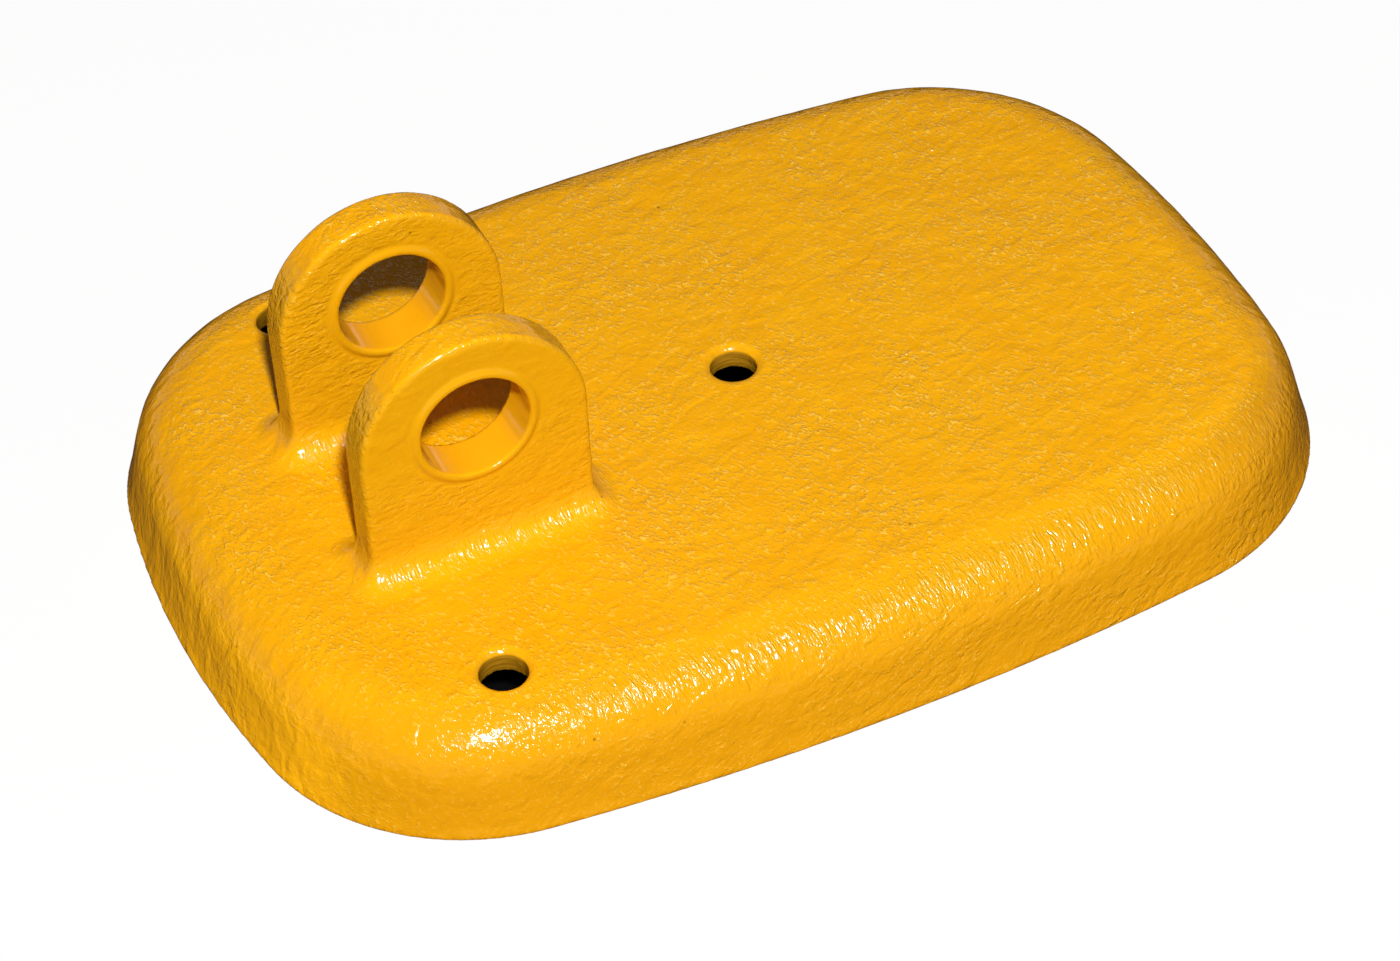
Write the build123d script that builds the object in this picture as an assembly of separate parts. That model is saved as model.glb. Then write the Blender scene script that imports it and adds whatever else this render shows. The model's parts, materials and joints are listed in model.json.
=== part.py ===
from build123d import *

import os
from math import acos, atan2, cos, degrees, pi, radians, sin, sqrt, tan

# Ground shoe of an outrigger: a dished cast pad with two clevis ears and three bolt holes.
# Millimetres. The origin is at the middle of the pad's underside, +X runs along the pad away from the ears,
# +Y lies along the pin bore and +Z points up.

# Pad, seen from above: four bowed sides joined by corner arcs
pad_length = 523.0
pad_width = 370.0
side_bow = 26.0
ear_end_bow = 37.0
plain_end_bow = 25.0
ear_end_corner = 107.0
plain_end_corner = 117.0

# Pad, in section
pad_height = 52.5
plate_thickness = 12.0
wall_thickness = 12.0
wall_draft = 15.0
top_round = 34.5
inner_bevel = 14.0
rim_ease = 1.0

# Clevis ears; their place is measured from the pad's ear end
ear_gap = 71.0
ear_thickness = 20.0
ear_half_width = 52.5
ear_inset = 127.0
ear_edge_round = 3.0
foot_round = 14.0

# Pin bore
bore_radius = 25.0
bore_above_plate = 67.5
bore_above_crown_centre = 7.5
lip_width = 4.2
lip_stand = 1.6
lip_crest = 1.0
lip_shoulder_width = 2.9
lip_shoulder_stand = 1.1
bore_ease = 0.9

# Bolt holes in the plate: the outer pair from the pad's ear end, the centre one from the pin bore
hole_radius = 10.5
outer_hole_inset = 102.5
outer_hole_spacing = 256.0
centre_hole_from_bore = 144.5
hole_mouth_bevel = 1.5

# What cutting tools run past a face
overrun = 5.0


def bow_radius(chord, bow):
    """Radius of an arc that rises by bow over its chord."""
    return ((chord / 2) ** 2 + bow**2) / (2 * bow)


def corner_centre(side_centre_y, side_radius, end_centre_x, end_radius, corner, end_sign):
    """Centre of the arc that touches a long side and an end from inside, in the +Y half."""
    to_side = side_radius - corner
    to_end = end_radius - corner
    apart = sqrt(side_centre_y**2 + end_centre_x**2)
    turn = acos((to_side**2 + apart**2 - to_end**2) / (2 * to_side * apart))
    heading = atan2(-side_centre_y, end_centre_x) - end_sign * turn
    return (to_side * cos(heading), side_centre_y + to_side * sin(heading))


def plan_arcs():
    """Centre, radius, first turn and last turn of each arc of the pad's plan, going round once."""
    side_radius = bow_radius(pad_length, side_bow)
    side_y = pad_width / 2 - side_radius
    corners = []
    ends = []
    for sign, bow, corner in ((1, plain_end_bow, plain_end_corner), (-1, ear_end_bow, ear_end_corner)):
        end_radius = bow_radius(pad_width, bow)
        end_x = sign * (pad_length / 2 - end_radius)
        x, y = corner_centre(side_y, side_radius, end_x, end_radius, corner, sign)
        # the turns at which the corner arc meets the end and the long side
        end_turn = atan2(y, x - end_x)
        side_turn = atan2(y - side_y, x)
        corners.append(((x, y), corner, end_turn, side_turn))
        ends.append(((end_x, 0), end_radius, end_turn))
    (plain_middle, plain_radius, plain_turn), (ear_middle, ear_radius, ear_turn) = ends
    ear_corner_at, ear_corner_radius, ear_from, ear_to = corners[1]
    half = [
        corners[0],
        ((0, side_y), side_radius, corners[0][3], ear_to),
        (ear_corner_at, ear_corner_radius, ear_to, ear_from),
    ]
    mirrored = [((x, -y), radius, -last, -first) for (x, y), radius, first, last in reversed(half)]
    ear_end = (ear_middle, ear_radius, ear_turn, 2 * pi - ear_turn)
    plain_end = (plain_middle, plain_radius, -plain_turn, plain_turn)
    return half + [ear_end] + mirrored + [plain_end]


def pad_outline(inset):
    """The pad's plan as a face, drawn in by an even inset: every arc keeps its centre."""
    arcs = []
    for centre, radius, first, last in plan_arcs():
        arcs.append(CenterArc(centre, radius - inset, degrees(first), degrees(last - first)))
    return make_face(arcs)


def edges_at_height(shape, height):
    """Edges that lie flat at one height."""
    return shape.edges().filter_by_position(Axis.Z, height, height, inclusive=(True, True))


def drafted_block(inset, height):
    """A block on the pad's plan whose walls lean in by the draft."""
    lean = height * tan(radians(wall_draft))
    return loft([pad_outline(inset), Pos(0, 0, height) * pad_outline(inset + lean)], ruled=True)


def pad():
    """The dished pad: a rounded block, eased where it stands, less a bevelled one."""
    outer = drafted_block(0, pad_height)
    outer = fillet(edges_at_height(outer, pad_height), top_round)
    outer = chamfer(edges_at_height(outer, 0), rim_ease)
    ceiling = pad_height - plate_thickness
    inner = drafted_block(wall_thickness, ceiling)
    return outer - chamfer(edges_at_height(inner, ceiling), inner_bevel)


def bore_x():
    """Where the pin bore crosses the pad's length."""
    return ear_inset - pad_length / 2


def ear(centre_y):
    """One upright ear: a plate with a half-round crown, rooted in the pad, its edges eased."""
    crown_height = bore_above_plate - bore_above_crown_centre
    root = plate_thickness / 2
    with BuildSketch(Plane.XZ) as profile:
        Circle(ear_half_width)
        Rectangle(2 * ear_half_width, crown_height + root, align=(Align.CENTER, Align.MAX))
    plate = extrude(profile.sketch, amount=ear_thickness / 2, both=True)
    sharp = plate.edges().filter_by(Axis.Y, reverse=True)
    sharp = [edge for edge in sharp if edge.center().Z > -crown_height - root / 2]
    plate = fillet(sharp, ear_edge_round)
    return Pos(bore_x(), centre_y, pad_height + crown_height) * plate


def mouth_lip():
    """The proud lip round a bore's mouth, on a face at z = 0: a crest, a shoulder and a steep foot."""
    root = ear_thickness / 4
    foot = bore_radius + lip_width
    profile = [
        (0, lip_stand),
        (bore_radius + lip_crest, lip_stand),
        (bore_radius + lip_shoulder_width, lip_shoulder_stand),
        (foot, 0),
        (foot, -root),
        (0, -root),
    ]
    return revolve(Plane.XZ * make_face(Polyline(*profile, close=True)), Axis.Z)


def clevis(body):
    """Both ears on the pad with their foot rounds, lips and the bore through them."""
    centre_y = (ear_gap + ear_thickness) / 2
    axis_height = pad_height + bore_above_plate
    for side in (-1, 1):
        body += ear(side * centre_y)
    feet = edges_at_height(body, pad_height)
    feet = [edge for edge in feet if abs(edge.center().X - bore_x()) < ear_half_width + ear_edge_round]
    feet = [edge for edge in feet if abs(edge.center().Y) < ear_gap / 2 + ear_thickness + ear_edge_round]
    body = fillet(feet, foot_round)
    for side in (-1, 1):
        for face_y, out in ((ear_gap / 2, -side), (ear_gap / 2 + ear_thickness, side)):
            mouth = Plane(origin=(bore_x(), side * face_y, axis_height), z_dir=(0, out, 0))
            body += mouth * mouth_lip()
    pin_way = ear_gap / 2 + ear_thickness + lip_stand
    across = Plane(origin=(bore_x(), 0, axis_height), z_dir=(0, 1, 0))
    body -= across * Cylinder(bore_radius, 2 * (pin_way + overrun))
    rims = body.edges().filter_by(GeomType.CIRCLE)
    rims = [rim for rim in rims if abs(rim.radius - bore_radius) < bore_ease / 2]
    return chamfer(rims, bore_ease)


def mouth_edges(body, places):
    """The upper rim edges of the bolt holes."""
    rims = []
    for edge in body.edges():
        centre = edge.center(CenterOf.BOUNDING_BOX)
        near = any(abs(centre.X - x) < hole_radius and abs(centre.Y - y) < hole_radius for x, y in places)
        is_wall = edge.bounding_box().size.Z > plate_thickness / 2
        if near and not is_wall and centre.Z > pad_height - plate_thickness / 2:
            rims.append(edge)
    return rims


def bolt_holes(body):
    """Three plain holes through the plate with bevelled mouths."""
    outer_x = outer_hole_inset - pad_length / 2
    places = [(bore_x() + centre_hole_from_bore, 0)]
    places += [(outer_x, side * outer_hole_spacing / 2) for side in (-1, 1)]
    for x, y in places:
        body -= Pos(x, y, pad_height / 2) * Cylinder(hole_radius, pad_height + 2 * overrun)
    return chamfer(mouth_edges(body, places), hole_mouth_bevel)


def shoe_casting():
    """The whole casting."""
    return bolt_holes(clevis(pad()))


os.makedirs("parts", exist_ok=True)
export_step(shoe_casting(), "parts/shoe_casting.step")
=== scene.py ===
# %% [markdown]
# # A cast ground shoe in yellow enamel
#
# This is the foot of a stabiliser leg: one sand casting, painted in thick yellow gloss enamel. It has a
# dished pad, two upright ears with a pin bore through them, and three bolt holes. The solid model gives the
# true form. What is added here is what the foundry and the paint shop left on it: the uneven skin of a sand
# mould, soft edges under the paint, and the enamel itself. The model is loaded first. The dressed casting
# has to stay inside it.

# %% Load the solid model
import json
from math import cos, pi, radians, sin

import bmesh
import bpy
from mathutils import Matrix, Vector


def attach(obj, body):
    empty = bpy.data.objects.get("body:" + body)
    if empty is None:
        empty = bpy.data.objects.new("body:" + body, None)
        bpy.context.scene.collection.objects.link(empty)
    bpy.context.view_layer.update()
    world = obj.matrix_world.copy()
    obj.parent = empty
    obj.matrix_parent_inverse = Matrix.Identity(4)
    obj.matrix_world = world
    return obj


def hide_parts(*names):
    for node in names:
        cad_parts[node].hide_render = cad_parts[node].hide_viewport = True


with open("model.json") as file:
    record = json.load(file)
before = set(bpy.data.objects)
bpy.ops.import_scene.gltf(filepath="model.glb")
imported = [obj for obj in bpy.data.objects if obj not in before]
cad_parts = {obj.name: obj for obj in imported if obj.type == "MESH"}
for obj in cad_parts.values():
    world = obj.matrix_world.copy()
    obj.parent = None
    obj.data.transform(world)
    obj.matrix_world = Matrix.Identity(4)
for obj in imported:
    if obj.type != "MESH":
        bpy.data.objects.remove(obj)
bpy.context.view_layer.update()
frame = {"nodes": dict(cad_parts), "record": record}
MM = 0.001
casting = frame["nodes"]["shoe_casting"]
mounts = {mount["name"]: mount for mount in frame["record"]["mounts"]}
print("the solid has", len(casting.data.polygons), "triangles")

# %% [markdown]
# ## Two small helpers
#
# Materials and geometry trees are both made of nodes, so one function adds a node to either: it sets the
# node's properties, then fills each input with a constant or a link. Colours are easiest to pick as sRGB
# hex values, but shaders work in linear light, so a second function converts them.

# %% Add a node; turn a hex colour to linear
def add(tree, kind, inputs=None, **settings):
    """A new node with its properties set, and each named input given a value or a link."""
    node = tree.nodes.new(kind)
    for name, value in settings.items():
        setattr(node, name, value)
    for name, value in (inputs or {}).items():
        if isinstance(value, bpy.types.NodeSocket):
            tree.links.new(value, node.inputs[name])
        else:
            node.inputs[name].default_value = value
    return node


def linear(code):
    """An sRGB hex colour as linear red, green, blue and alpha."""
    parts = [int(code[at:at + 2], 16) / 255 for at in (1, 3, 5)]
    return tuple(c / 12.92 if c <= 0.04045 else ((c + 0.055) / 1.055) ** 2.4 for c in parts) + (1.0,)


# %% [markdown]
# ## The camera
#
# A product photographer stood well back with a long lens, looking down at the corner of the pad that has
# the ears. The angles, distance and focal length come from fitting the solid's outline, bores and holes to
# the picture. The camera is built from its three axes rather than from rotation values, which keeps the
# small tilt of the picture plain to read.

# %% Place the camera
def direction(azimuth, elevation):
    """Unit vector away from the casting: degrees round from -Y towards +X, and degrees up."""
    turn, rise = radians(azimuth), radians(elevation)
    return Vector((sin(turn) * cos(rise), -cos(turn) * cos(rise), sin(rise)))


camera_azimuth, camera_elevation, camera_roll = -23.588, 42.728, radians(-3.130)
camera_distance = 1860.8 * MM
look_at = Vector((-14.161, -11.005, 0)) * MM

back = direction(camera_azimuth, camera_elevation)
level = direction(camera_azimuth + 90, 0)
above = back.cross(level)
right = cos(camera_roll) * level + sin(camera_roll) * above
upward = cos(camera_roll) * above - sin(camera_roll) * level

camera = bpy.data.objects.new("camera", bpy.data.cameras.new("camera"))
bpy.context.scene.collection.objects.link(camera)
camera.data.sensor_fit = "HORIZONTAL"
camera.data.sensor_width = 36.0
camera.data.lens = 105.46
camera.matrix_world = Matrix((right, upward, back)).transposed().to_4x4()
camera.location = look_at + camera_distance * back
bpy.context.scene.camera = camera
print("camera at", [round(v, 3) for v in camera.location])

# %% [markdown]
# ## The skin of the casting: an even mesh to work on
#
# A solid's triangles are long and thin on flat faces, so there is nothing there to push or pull. A voxel
# remesh covers the form with even quads instead. It rounds everything a little, so each point is then laid
# back on the true surface. A few rounds of smoothing follow, which soften the sharp edges as a thick coat
# of enamel does.

# %% Copy the casting, merge its points and cover it with even quads
voxel = 1.2 * MM
merge_distance = 0.005 * MM


def as_plain_mesh(source, name):
    """The object with its modifiers worked out, as a mesh of its own."""
    seen = source.evaluated_get(bpy.context.evaluated_depsgraph_get())
    mesh = bpy.data.meshes.new_from_object(seen)
    mesh.name = name
    return mesh


form = bpy.data.objects.new("form", casting.data.copy())
bpy.context.scene.collection.objects.link(form)
joined = bmesh.new()
joined.from_mesh(form.data)
bmesh.ops.remove_doubles(joined, verts=joined.verts, dist=merge_distance)
bmesh.ops.recalc_face_normals(joined, faces=joined.faces)
joined.to_mesh(form.data)
joined.free()

skin = bpy.data.objects.new("cast_shoe", form.data.copy())
bpy.context.scene.collection.objects.link(skin)
even = skin.modifiers.new("even quads", "REMESH")
even.mode = "VOXEL"
even.voxel_size = voxel
even.use_smooth_shade = True
laid = skin.modifiers.new("back on the form", "SHRINKWRAP")
laid.target = form
laid.wrap_method = "NEAREST_SURFACEPOINT"
softened = skin.modifiers.new("softened edges", "SMOOTH")
softened.factor = 0.5
softened.iterations = 3
even_mesh = as_plain_mesh(skin, "even_quads")
skin.modifiers.clear()
skin.data = even_mesh
bpy.data.objects.remove(form)
print("even mesh:", len(even_mesh.polygons), "quads")

# %% [markdown]
# ## The skin of the casting: what the sand left
#
# A sand mould is never true. The flat faces swell and sink by half a millimetre over a hand's width, and
# have shallow lumps where the sand was rammed. This follows a rule over the whole surface, so Geometry
# Nodes make it: two noise fields push each point along its normal. They only ever push inwards, because the
# solid is the outside of the casting. The bore with its lips, the holes' mouths and the rim are machined or
# filed, so masks keep them true. Finer marks, up to about a centimetre, are left to the enamel's bump,
# which no mesh limit can blur.

# %% Start the cast skin's tree: its inputs and two noise fields
skin_inputs = {
    "Swell size": 85 * MM,
    "Swell depth": 0.55 * MM,
    "Lump size": 17 * MM,
    "Lump depth": 0.28 * MM,
    "Seed": 11.0,
}
skin_tree = bpy.data.node_groups.new("cast skin", "GeometryNodeTree")
interface = skin_tree.interface
interface.new_socket("Geometry", in_out="INPUT", socket_type="NodeSocketGeometry")
for label, start in skin_inputs.items():
    interface.new_socket(label, in_out="INPUT", socket_type="NodeSocketFloat").default_value = start
interface.new_socket("Finish", in_out="INPUT", socket_type="NodeSocketMaterial")
interface.new_socket("Geometry", in_out="OUTPUT", socket_type="NodeSocketGeometry")

given = add(skin_tree, "NodeGroupInput").outputs
place = add(skin_tree, "GeometryNodeInputPosition").outputs[0]
normal = add(skin_tree, "GeometryNodeInputNormal").outputs[0]

# noise seldom leaves this span, so the span is stretched over the whole depth
noise_low, noise_high = 0.25, 0.75
sunk = 0.0
for size, depth in (("Swell size", "Swell depth"), ("Lump size", "Lump depth")):
    scale = add(skin_tree, "ShaderNodeMath", {0: 1.0, 1: given[size]}, operation="DIVIDE").outputs[0]
    field = add(
        skin_tree, "ShaderNodeTexNoise",
        {"Vector": place, "W": given["Seed"], "Scale": scale, "Detail": 1.0}, noise_dimensions="4D",
    ).outputs[0]
    evened = add(skin_tree, "ShaderNodeMapRange", {0: field, 1: noise_low, 2: noise_high}).outputs[0]
    deep = add(skin_tree, "ShaderNodeMath", {0: evened, 1: given[depth]}, operation="MULTIPLY").outputs[0]
    sunk = add(skin_tree, "ShaderNodeMath", {0: sunk, 1: deep}, operation="ADD").outputs[0]
print("noise fields:", len(skin_tree.nodes), "nodes")

# %% Keep the bore, the holes' mouths and the rim true
bore_at = Vector(mounts["pin_bore"]["pos_m"])
bore_radius = mounts["pin_bore"]["dims"]["r_mm"] * MM
outer = mounts["outer_holes"]
half_spacing = outer["dims"]["spacing_y_mm"] / 2 * MM
hole_radius = outer["dims"]["hole_r_mm"] * MM
hole_places = [Vector(mounts["centre_hole"]["pos_m"])]
hole_places += [Vector((outer["pos_m"][0], side * half_spacing, 0)) for side in (-1, 1)]
across_bore, across_hole = Vector((1, 0, 1)), Vector((1, 1, 0))
lip_foot = bore_radius + 4.4 * MM
mouth_edge = hole_radius + 1.5 * MM
true_fade = 4 * MM
rim_true, rim_rough = 1 * MM, 7 * MM


def from_axis(tree, point, middle, across):
    """How far a point lies from an axis through middle; across is 1 in both directions square to it."""
    offset = add(tree, "ShaderNodeVectorMath", {0: point, 1: middle}, operation="SUBTRACT").outputs[0]
    flat = add(tree, "ShaderNodeVectorMath", {0: offset, 1: across}, operation="MULTIPLY").outputs[0]
    return add(tree, "ShaderNodeVectorMath", {0: flat}, operation="LENGTH").outputs["Value"]


off_bore = from_axis(skin_tree, place, bore_at, across_bore)
off_holes = [from_axis(skin_tree, place, middle, across_hole) for middle in hole_places]
height = add(skin_tree, "ShaderNodeSeparateXYZ", {0: place}).outputs["Z"]
kept_true = [(off_bore, lip_foot, lip_foot + true_fade), (height, rim_true, rim_rough)]
kept_true += [(off_hole, mouth_edge, mouth_edge + true_fade) for off_hole in off_holes]
for measure, start, end in kept_true:
    share = add(
        skin_tree, "ShaderNodeMapRange", {0: measure, 1: start, 2: end}, interpolation_type="SMOOTHSTEP",
    ).outputs[0]
    sunk = add(skin_tree, "ShaderNodeMath", {0: sunk, 1: share}, operation="MULTIPLY").outputs[0]
print("places kept true:", len(kept_true))

# %% [markdown]
# ## The skin of the casting: round the lips and the bolt holes
#
# Two places dip a little more. Round each lip of the bore runs a shallow groove, which sets the lip off
# with a thin ring of shade. The plate's skin sinks softly towards each bolt hole, so that the mouth catches
# a small light. Both could be cut in the mesh by hand. Here they follow from the distance to the bore's or
# the hole's axis, in the same tree, so they stay round and in place whatever the noise does.

# %% Press a shallow groove round the lips
groove_depth = 0.2 * MM
groove_start, groove_bottom = lip_foot - 0.5 * MM, lip_foot + 0.6 * MM
groove_rise, groove_end = lip_foot + 0.8 * MM, lip_foot + 4 * MM

falling = {0: off_bore, 1: groove_start, 2: groove_bottom, 4: groove_depth}
rising = {0: off_bore, 1: groove_rise, 2: groove_end, 3: 1.0, 4: 0.0}
groove = 1.0
for side in (falling, rising):
    slope = add(skin_tree, "ShaderNodeMapRange", side, interpolation_type="SMOOTHSTEP").outputs[0]
    groove = add(skin_tree, "ShaderNodeMath", {0: groove, 1: slope}, operation="MULTIPLY").outputs[0]
sunk = add(skin_tree, "ShaderNodeMath", {0: sunk, 1: groove}, operation="ADD").outputs[0]
print("groove from", round(groove_start / MM, 1), "to", round(groove_end / MM, 1), "mm off the axis")

# %% Dish the bolt holes' mouths
dish_width, dish_depth = 4.5 * MM, 1.3 * MM
upward_share = add(skin_tree, "ShaderNodeSeparateXYZ", {0: normal}).outputs["Z"]
upward_share = add(skin_tree, "ShaderNodeMath", {0: upward_share, 1: 0.0}, operation="MAXIMUM").outputs[0]
for off_hole in off_holes:
    near = add(skin_tree, "ShaderNodeMapRange", {0: off_hole, 1: hole_radius + dish_width, 2: hole_radius})
    # squared, so that the dish leaves the plate softly and falls steeply at the hole
    dish = add(skin_tree, "ShaderNodeMath", {0: near.outputs[0], 1: 2.0}, operation="POWER").outputs[0]
    for share in (upward_share, dish_depth):
        dish = add(skin_tree, "ShaderNodeMath", {0: dish, 1: share}, operation="MULTIPLY").outputs[0]
    sunk = add(skin_tree, "ShaderNodeMath", {0: sunk, 1: dish}, operation="ADD").outputs[0]
print("mouths dished:", len(off_holes))

# %% Push the points inwards, and end the tree
inwards = add(skin_tree, "ShaderNodeMath", {0: sunk, 1: -1.0}, operation="MULTIPLY").outputs[0]
push = add(skin_tree, "ShaderNodeVectorMath", {0: normal, "Scale": inwards}, operation="SCALE").outputs[0]
moved = add(skin_tree, "GeometryNodeSetPosition", {"Geometry": given["Geometry"], "Offset": push}).outputs[0]
real = add(skin_tree, "GeometryNodeRealizeInstances", {0: moved}).outputs[0]
dressed = add(skin_tree, "GeometryNodeSetMaterial", {"Geometry": real, "Material": given["Finish"]})
add(skin_tree, "NodeGroupOutput", {0: dressed.outputs[0]})
print("cast skin tree:", len(skin_tree.nodes), "nodes")

# %% [markdown]
# ## The enamel
#
# The finish is an air-drying gloss enamel, brushed or sprayed thickly over unmachined cast iron. It gives
# the eye a deep, even orange-yellow with small hard highlights. It fills the sand's pores without levelling
# them, so the plate has an orange peel of short leaning dashes, two to three millimetres apart, with a pale
# painted highlight on their crests. On the rounds it levels itself better, and ripples that run down them
# break the lamp's reflection into a line of dots. Under it lie the marks of the mould: shallow lumps,
# oblique creases that grow along the walls, and wrinkles on the ears. All of these marks are bump, each from
# noise on Object coordinates at its real size, and masks by place and direction keep the machined bores
# smooth and the holes' mouths half smooth. The colour is nearly even. Painted shade makes it a little
# darker low on the walls, along the pad's near side and on the ears' faces, and painted light a little
# brighter on the far round and on the wall of the ear end. It has a rare dark speck of grit, and the holes'
# walls are darker, brown and streaked.

# %% Start the enamel, and measure what its regions depend on
enamel = bpy.data.materials.new("yellow gloss enamel on sand casting")
enamel.use_nodes = True
paint = enamel.node_tree
paint.nodes.clear()
at = add(paint, "ShaderNodeTexCoord").outputs["Object"]
spot = add(paint, "ShaderNodeSeparateXYZ", {0: at}).outputs
outwards = add(paint, "ShaderNodeNewGeometry").outputs["True Normal"]
facing = add(paint, "ShaderNodeSeparateXYZ", {0: outwards}).outputs
flatness = add(paint, "ShaderNodeMath", {0: facing["Z"]}, operation="ABSOLUTE").outputs[0]
from_bore = from_axis(paint, at, bore_at, across_bore)
from_hole = from_axis(paint, at, hole_places[0], across_hole)
for middle in hole_places[1:]:
    other = from_axis(paint, at, middle, across_hole)
    from_hole = add(paint, "ShaderNodeMath", {0: from_hole, 1: other}, operation="MINIMUM").outputs[0]
print("measured so far:", len(paint.nodes), "nodes")

# %% Divide the surface into regions with soft borders
soft, straight = "SMOOTHSTEP", "LINEAR"
borders = (
    # name, measure, where the region starts, where it is full, how it fades in
    ("steep", flatness, 0.8, 0.5, soft),
    ("facing the near side", facing["Y"], -0.7, -0.95, soft),
    ("high on the ears", spot["Z"], 85 * MM, 120 * MM, soft),
    ("past the near ear's middle", spot["Y"], -45 * MM, -50 * MM, straight),
    ("on the ears", spot["Z"], 50 * MM, 62 * MM, straight),
    ("within a hole", from_hole, hole_radius + 1.6 * MM, hole_radius + 1.2 * MM, straight),
    ("down a hole", spot["Z"], 50.3 * MM, 49.2 * MM, soft),
    ("leaning to the near side", facing["Y"], -0.3, -0.5, soft),
    ("flatter than a wall", facing["Z"], 0.40, 0.55, soft),
    ("right of the near corner", facing["X"], -0.26, -0.04, soft),
    ("low", spot["Z"], 46 * MM, 20 * MM, soft),
    ("off the ear end", facing["X"], -0.9, -0.5, soft),
    ("facing the ear end", facing["X"], -0.75, -0.92, soft),
    ("below the plate", spot["Z"], 53 * MM, 51 * MM, straight),
    ("turned to the near side", facing["Y"], -0.15, -0.45, soft),
    ("turned to the far side", facing["Y"], 0.1, 0.4, soft),
    ("towards the plain end", spot["X"], 100 * MM, 240 * MM, soft),
)
region = {}
for name, measure, start, full, curve in borders:
    border = add(paint, "ShaderNodeMapRange", {0: measure, 1: start, 2: full}, interpolation_type=curve)
    region[name] = border.outputs[0]

overlaps = (
    # name, and the regions that meet there
    ("near ear's outer face", ("facing the near side", "high on the ears", "past the near ear's middle")),
    ("hole wall", ("within a hole", "down a hole")),
    ("near round", ("leaning to the near side", "flatter than a wall", "right of the near corner")),
    ("low wall", ("low", "off the ear end")),
    ("end wall", ("facing the ear end", "below the plate")),
    ("ear faces", ("steep", "on the ears")),
    ("near side", ("turned to the near side", "below the plate")),
    ("far side", ("turned to the far side", "below the plate")),
    ("near side's plain end", ("towards the plain end", "near side")),
)
for name, parts in overlaps:
    shared = 1.0
    for part in parts:
        shared = add(paint, "ShaderNodeMath", {0: shared, 1: region[part]}, operation="MULTIPLY").outputs[0]
    region[name] = shared
print("regions:", len(region))

# %% Say how strong the marks are, and where
# the coat is smooth on the lips and in the bore, and half smooth round the holes' mouths
rough_cast = 1.0
for measure, smooth, full, least in (
    (from_bore, bore_radius + 4 * MM, bore_radius + 8 * MM, 0.06),
    (from_hole, hole_radius + 1.5 * MM, hole_radius + 5 * MM, 0.5),
):
    share = add(
        paint, "ShaderNodeMapRange", {0: measure, 1: smooth, 2: full, 3: least}, interpolation_type=soft,
    ).outputs[0]
    rough_cast = add(paint, "ShaderNodeMath", {0: rough_cast, 1: share}, operation="MULTIPLY").outputs[0]

# the marks come and go in patches of a few centimetres, and are weak on the near ear round its bore
patch_size = 45 * MM
marked = add(paint, "ShaderNodeMapRange", {0: region["near ear's outer face"], 3: 1.0, 4: 0.35}).outputs[0]
patches = add(paint, "ShaderNodeTexNoise", {"Vector": at, "Scale": 1 / patch_size, "Detail": 1.0}).outputs[0]
patches = add(paint, "ShaderNodeMapRange", {0: patches, 1: 0.38, 2: 0.62, 3: 0.45, 4: 1.0}).outputs[0]
patches = add(paint, "ShaderNodeMath", {0: patches, 1: marked}, operation="MULTIPLY").outputs[0]

# creases are on steep faces only; on the pad's walls they grow away from the ears
along = add(paint, "ShaderNodeMapRange", {0: spot["X"], 1: -140 * MM, 2: 140 * MM, 3: 0.3, 4: 1.0}).outputs[0]
creased = add(paint, "ShaderNodeMath", {0: region["steep"], 1: patches}, operation="MULTIPLY").outputs[0]
ear_creased = add(
    paint, "ShaderNodeMath", {0: creased, 1: region["on the ears"]}, operation="MULTIPLY",
).outputs[0]
wall_creased = add(paint, "ShaderNodeMath", {0: creased, 1: ear_creased}, operation="SUBTRACT").outputs[0]
wall_creased = add(paint, "ShaderNodeMath", {0: wall_creased, 1: along}, operation="MULTIPLY").outputs[0]

# the coat levels itself better where it runs down a round, and the lamp's reflection there is a tighter line
levelled = add(
    paint, "ShaderNodeMapRange", {0: flatness, 1: 0.96, 2: 0.80, 3: 1.0, 4: 0.4}, interpolation_type=soft,
).outputs[0]
peeled = add(paint, "ShaderNodeMath", {0: patches, 1: levelled}, operation="MULTIPLY").outputs[0]
print("with the masks:", len(paint.nodes), "nodes")

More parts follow.
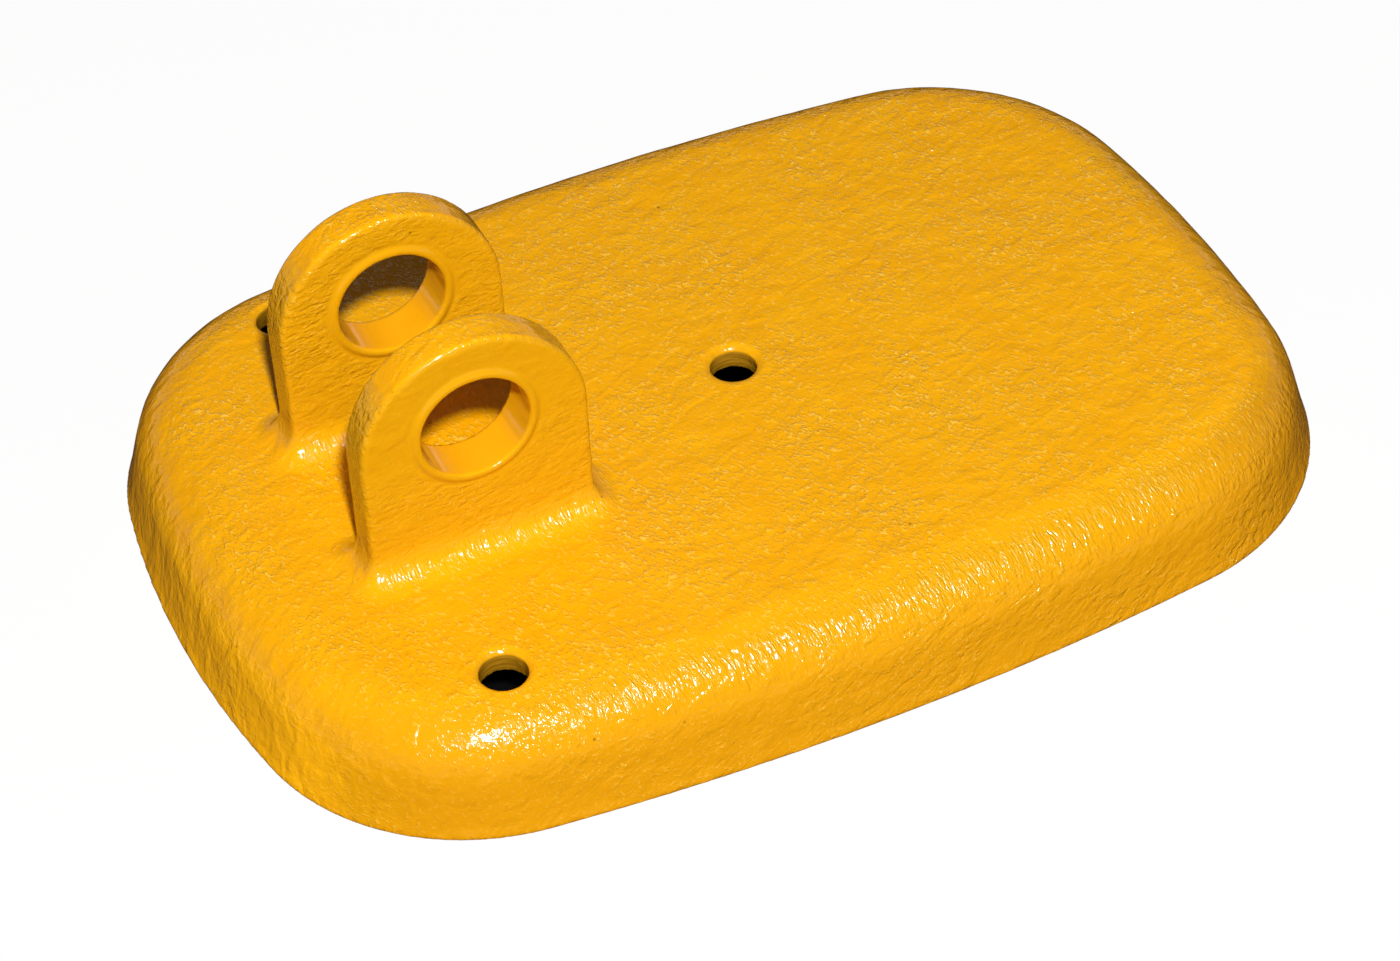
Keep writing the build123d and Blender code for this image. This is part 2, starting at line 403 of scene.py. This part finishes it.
# %% The marks in the skin, as bump
marks = (
    # what, turn (degrees), sizes (mm), lean, lowest and highest noise that counts, depth (mm), where
    ("orange peel", (0, 0, -64), (2.8, 1.3, 1.7), 2.2, (0.46, 0.70), 0.36, peeled),
    ("rammed lumps", (0, 0, 20), (13, 8, 10), 0, (0.2, 0.8), 0.5, 1.0),
    ("wall creases", (0, -26, 0), (8.5, 2.9, 2.9), 0, (0.3, 0.60), 0.40, wall_creased),
    ("ear wrinkles", (0, -8, 0), (6.0, 2.4, 2.4), 0, (0.3, 0.60), 0.36, ear_creased),
    ("ripples", (0, 0, 12), (2.0, 6.0, 6.0), 0, (0.25, 0.75), 0.38, region["near round"]),
)
fields = {}
total = 0.0
for what, turn, sizes, lean, (lowest, highest), depth, where in marks:
    turned = add(paint, "ShaderNodeMapping", {"Vector": at, "Rotation": [radians(-angle) for angle in turn]})
    counts = {0: turned.outputs[0], 1: [1 / (size * MM) for size in sizes]}
    counted = add(paint, "ShaderNodeVectorMath", counts, operation="MULTIPLY").outputs[0]
    bent = {"Vector": counted, "Scale": 1.0, "Detail": 1.5, "Distortion": 0.5}
    field = add(paint, "ShaderNodeTexNoise", bent).outputs[0]
    if lean:
        # a mark that leans has one steep side: the noise shifts its own coordinates across the mark
        shift = add(paint, "ShaderNodeMapRange", {0: field, 3: -lean / 2, 4: lean / 2}).outputs[0]
        shift = add(paint, "ShaderNodeCombineXYZ", {"Y": shift}).outputs[0]
        counted = add(paint, "ShaderNodeVectorMath", {0: counted, 1: shift}, operation="ADD").outputs[0]
        field = add(paint, "ShaderNodeTexNoise", {"Vector": counted, "Scale": 1.0, "Detail": 1.0}).outputs[0]
    fields[what] = field
    heights = {0: field, 1: lowest, 2: highest, 4: depth * MM}
    rise = add(paint, "ShaderNodeMapRange", heights, interpolation_type=soft).outputs[0]
    rise = add(paint, "ShaderNodeMath", {0: rise, 1: where}, operation="MULTIPLY").outputs[0]
    total = add(paint, "ShaderNodeMath", {0: total, 1: rise}, operation="ADD").outputs[0]
total = add(paint, "ShaderNodeMath", {0: total, 1: rough_cast}, operation="MULTIPLY").outputs[0]
relief = add(paint, "ShaderNodeBump", {"Strength": 1.0, "Distance": 1.0, "Height": total}).outputs[0]
print("marks:", ", ".join(fields))

# %% The enamel's colour
tone_size = 22.2 * MM
tone = add(paint, "ShaderNodeTexNoise", {"Vector": at, "Scale": 1 / tone_size, "Detail": 2.0}).outputs[0]
tone = add(paint, "ShaderNodeMapRange", {0: tone, 1: 0.35, 2: 0.65}).outputs[0]
yellows = {0: tone, 6: linear("#F1A706"), 7: linear("#F3AC09")}
colour = add(paint, "ShaderNodeMix", yellows, data_type="RGBA").outputs[2]

# painted highlight: the crests of the orange peel are tinted pale, standing in for the lamp's glints on them
crest_highlight = {0: fields["orange peel"], 1: 0.56, 2: 0.70, 4: 0.7}
crest_highlight = add(paint, "ShaderNodeMapRange", crest_highlight, interpolation_type=soft).outputs[0]
for share in (peeled, rough_cast):
    crest_highlight = add(paint, "ShaderNodeMath", {0: crest_highlight, 1: share}, operation="MULTIPLY").outputs[0]

# grit in the paint: here and there a dark speck of about a millimetre, in cells of this size
grit_cell, speck, speck_core = 32 * MM, 1.0 * MM, 0.2 * MM
grit = add(paint, "ShaderNodeTexVoronoi", {"Vector": at, "Scale": 1 / grit_cell}).outputs["Distance"]
grit = add(
    paint, "ShaderNodeMapRange", {0: grit, 1: speck / grit_cell, 2: speck_core / grit_cell, 4: 0.8},
).outputs[0]

# the holes' walls are darker and browner, in streaks that run round them
streak_length, streak_width = 14 * MM, 0.8 * MM
streaks = {0: at, 1: (1 / streak_length, 1 / streak_length, 1 / streak_width)}
streaks = add(paint, "ShaderNodeVectorMath", streaks, operation="MULTIPLY").outputs[0]
streaks = add(paint, "ShaderNodeTexNoise", {"Vector": streaks, "Scale": 1.0}).outputs[0]
streaks = add(paint, "ShaderNodeMapRange", {0: streaks, 1: 0.4, 2: 0.6}).outputs[0]
browns = {0: streaks, 6: linear("#8E640E"), 7: linear("#AC7B18")}
hole_wall_brown = add(paint, "ShaderNodeMix", browns, data_type="RGBA").outputs[2]

# painted shade makes the coat a little darker on the ears' faces, along the pad's near side and low on its
# walls; painted light makes it a little brighter on the far round and on the wall of the ear end
tints = (
    # painted shade on the ears' faces and the pad's near side
    (region["ear faces"], linear("#DA9D09")),
    (region["near side"], linear("#E19F08")),
    # painted light on the far round and the wall of the ear end
    (region["far side"], linear("#FCB008")),
    (region["end wall"], linear("#FFB80E")),
    # painted shade low on the walls and at the near side's plain end
    (region["low wall"], linear("#D6940A")),
    (region["near side's plain end"], linear("#D4920A")),
    # painted highlight on the crests of the orange peel
    (crest_highlight, linear("#FFCE50")),
    (grit, linear("#6E4A10")),
    (region["hole wall"], hole_wall_brown),
)
for share, tint in tints:
    colour = add(paint, "ShaderNodeMix", {0: share, 6: colour, 7: tint}, data_type="RGBA").outputs[2]
print("tints laid over the yellow:", len(tints))

# %% The enamel's gloss
# a paint's IOR is about 1.5; roughness and specular level are matched to the highlight on the near corner
gloss = {"Roughness": 0.13, "IOR": 1.5, "Specular IOR Level": 0.36}
shader = add(paint, "ShaderNodeBsdfPrincipled", {"Base Color": colour, "Normal": relief, **gloss}).outputs[0]
add(paint, "ShaderNodeOutputMaterial", {"Surface": shader})
print("enamel:", len(paint.nodes), "nodes")

# %% [markdown]
# ## Press the skin into the mesh
#
# The tree runs once, its result becomes a plain mesh and the modifier goes. The even quads are far more
# than a part on a shelf needs, so a decimate then merges them, most where the skin is nearly flat.

# %% Run the tree, thin the mesh and let it stand for the solid
most_triangles = 190000
press = skin.modifiers.new("cast skin", "NODES")
press.node_group = skin_tree
sockets = {item.name: item.identifier for item in interface.items_tree if item.in_out == "INPUT"}
for label, value in skin_inputs.items():
    press[sockets[label]] = value
press[sockets["Finish"]] = enamel
cast_mesh = as_plain_mesh(skin, "cast_skin")
skin.modifiers.clear()
skin.data = cast_mesh

thin = skin.modifiers.new("thinned", "DECIMATE")
thin.ratio = min(1.0, most_triangles / (2 * len(cast_mesh.polygons)))
thin.use_collapse_triangulate = True
thin_mesh = as_plain_mesh(skin, "cast_shoe")
skin.modifiers.clear()
skin.data = thin_mesh
skin.data.shade_smooth()
print("cast shoe:", len(thin_mesh.polygons), "triangles")

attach(skin, "root")
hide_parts("shoe_casting")

# %% [markdown]
# ## The light
#
# The two bright patches that the light throws through the bores fix where the lamp stood: a little to the
# right of the camera and a little above it, and small, because the edges of the patches are only a few
# millimetres soft. The shadows inside the bores are deep, so the room gave little light back: a dim sky,
# and a warm low band to the left and right that lights the end walls.

# %% Hang the lamp
lamp_distance, lamp_width, lamp_radiance = 3.0, 0.17, 1.27
towards = direction(-17.4, 48.5)
lamp = bpy.data.objects.new("lamp", bpy.data.lights.new("lamp", "AREA"))
bpy.context.scene.collection.objects.link(lamp)
lamp.data.shape = "DISK"
lamp.data.size = lamp_width
# a power of pi squared times the distance squared lights a white card square on to a radiance of one
lamp.data.energy = lamp_radiance * pi**2 * lamp_distance**2
lamp.location = towards * lamp_distance
lamp.rotation_euler = towards.to_track_quat("Z", "Y").to_euler()
print("lamp:", round(lamp.data.energy, 1), "W at", [round(v, 2) for v in lamp.location])

# %% Light the room: a dim sky and a low band
sky_below, sky_above = 0.012, 0.08
leftwards = (-0.985, -0.174, 0)
right_share = 0.35
band_glow = (2.1, 1.46, 0.64)

world = bpy.data.worlds.new("studio")
bpy.context.scene.world = world
world.use_nodes = True
room = world.node_tree
room.nodes.clear()
aim = add(room, "ShaderNodeTexCoord").outputs["Generated"]
up = add(room, "ShaderNodeVectorMath", {0: aim, 1: (0, 0, 1)}, operation="DOT_PRODUCT").outputs["Value"]
sky = add(room, "ShaderNodeMapRange", {0: up, 1: -0.1, 2: 1.0, 3: sky_below, 4: sky_above}).outputs[0]
to_left = add(room, "ShaderNodeVectorMath", {0: aim, 1: leftwards}, operation="DOT_PRODUCT").outputs["Value"]
band = 0.0
for start, end, strength in ((0.25, 1.0, 1.0), (-0.25, -1.0, right_share)):
    end_glow = add(
        room, "ShaderNodeMapRange", {0: to_left, 1: start, 2: end, 4: strength}, interpolation_type=soft,
    ).outputs[0]
    band = add(room, "ShaderNodeMath", {0: band, 1: end_glow}, operation="ADD").outputs[0]
low = add(
    room, "ShaderNodeMapRange", {0: up, 1: 0.1, 2: 0.45, 3: 1.0, 4: 0.0}, interpolation_type=soft,
).outputs[0]
band = add(room, "ShaderNodeMath", {0: band, 1: low}, operation="MULTIPLY").outputs[0]
band = add(room, "ShaderNodeVectorMath", {0: band_glow, "Scale": band}, operation="SCALE").outputs[0]
glow = add(room, "ShaderNodeVectorMath", {0: band, 1: sky}, operation="ADD").outputs[0]
add(room, "ShaderNodeOutputWorld", {"Surface": add(room, "ShaderNodeBackground", {"Color": glow}).outputs[0]})
print("room:", len(room.nodes), "nodes")

# %% [markdown]
# ## The floor
#
# The floor is a sheet of matt paper that bends up into a round cove. The camera sees it white, apart from
# the patch inside the dish, which is painted nearly black as the shade under the casting, as the picture
# shows it through the bolt holes. In reflections it is a painted dark grey shade close round the casting,
# so the enamel mirrors nothing bright close by; it turns white between one and two and a half metres out
# and darkens up the cove. To other light it is a warm grey, which lights the walls from below and keeps
# the casting's shadow.

# %% Bend the paper into a cove
cove_radius, cove_bend, cove_height, cove_sides = 6.0, 0.8, 1.3, 96
flat_rings = (0.02, 1.0, 2.5)
bend_steps = 9

profile = [(reach, 0.0) for reach in flat_rings]
for step in range(bend_steps + 1):
    turn = radians(90 * step / bend_steps)
    profile.append((cove_radius - cove_bend + cove_bend * sin(turn), cove_bend - cove_bend * cos(turn)))
profile.append((cove_radius, cove_height))

turns = [2 * pi * side / cove_sides for side in range(cove_sides)]
points = [(reach * cos(turn), reach * sin(turn), rise) for reach, rise in profile for turn in turns]
faces = [tuple(range(cove_sides))]
for ring in range(len(profile) - 1):
    for side in range(cove_sides):
        here, beside = ring * cove_sides + side, ring * cove_sides + (side + 1) % cove_sides
        faces.append((here, here + cove_sides, beside + cove_sides, beside))
cove = bpy.data.meshes.new("floor")
cove.from_pydata(points, [], faces)
cove.shade_smooth()
floor = bpy.data.objects.new("floor", cove)
bpy.context.scene.collection.objects.link(floor)
print("floor:", len(faces), "faces")

# %% Paint the paper
white_from, white_at = 0.8, 2.5
cove_dims_by, cove_share = 0.5, 0.15
dish_half_length, dish_half_width = 250 * MM, 175 * MM
white_share = 0.9

paper = bpy.data.materials.new("matt white paper")
paper.use_nodes = True
sheet = paper.node_tree
sheet.nodes.clear()
rays = add(sheet, "ShaderNodeLightPath").outputs
where = add(sheet, "ShaderNodeTexCoord").outputs["Object"]
up_wall = add(sheet, "ShaderNodeSeparateXYZ", {0: where}).outputs["Z"]
up_wall = add(sheet, "ShaderNodeMapRange", {0: up_wall, 2: cove_dims_by, 3: 1.0, 4: cove_share}).outputs[0]
beyond = add(sheet, "ShaderNodeVectorMath", {0: where}, operation="LENGTH").outputs["Value"]
beyond = add(
    sheet, "ShaderNodeMapRange", {0: beyond, 1: white_from, 2: white_at}, interpolation_type=soft,
).outputs[0]
seen = rays["Is Glossy Ray"]
for share in (beyond, up_wall):
    seen = add(sheet, "ShaderNodeMath", {0: seen, 1: share}, operation="MULTIPLY").outputs[0]
for other in (rays["Is Camera Ray"], rays["Is Transmission Ray"]):
    seen = add(sheet, "ShaderNodeMath", {0: seen, 1: other}, operation="MAXIMUM").outputs[0]

inside = {0: where, 1: (1 / dish_half_length, 1 / dish_half_width, 0)}
inside = add(sheet, "ShaderNodeVectorMath", inside, operation="MULTIPLY").outputs[0]
inside = add(sheet, "ShaderNodeVectorMath", {0: inside}, operation="LENGTH").outputs["Value"]
clear = add(sheet, "ShaderNodeMapRange", {0: inside, 1: 0.98, 2: 1.0}).outputs[0]

tint = linear("#8C7961")
# close round the casting, reflections see the paper as a painted dark grey shade
for share, shade in ((rays["Is Glossy Ray"], linear("#272727")), (seen, linear("#F3F3F3"))):
    tint = add(sheet, "ShaderNodeMix", {0: share, 6: tint, 7: shade}, data_type="RGBA").outputs[2]
# inside the dish's outline the paper is painted nearly black: painted shade under the casting
tint = add(sheet, "ShaderNodeMix", {0: clear, 6: linear("#0D0D0D"), 7: tint}, data_type="RGBA").outputs[2]
glowing = seen
for share in (clear, white_share):
    glowing = add(sheet, "ShaderNodeMath", {0: glowing, 1: share}, operation="MULTIPLY").outputs[0]
matt = add(sheet, "ShaderNodeBsdfDiffuse", {"Color": tint}).outputs[0]
white = add(sheet, "ShaderNodeEmission", {"Color": linear("#FFFFFF"), "Strength": 1.0}).outputs[0]
blend = add(sheet, "ShaderNodeMixShader", {0: glowing, 1: matt, 2: white}).outputs[0]
add(sheet, "ShaderNodeOutputMaterial", {"Surface": blend})
floor.data.materials.append(paper)
bpy.context.scene.view_settings.view_transform = "Standard"
print("paper:", len(sheet.nodes), "nodes")
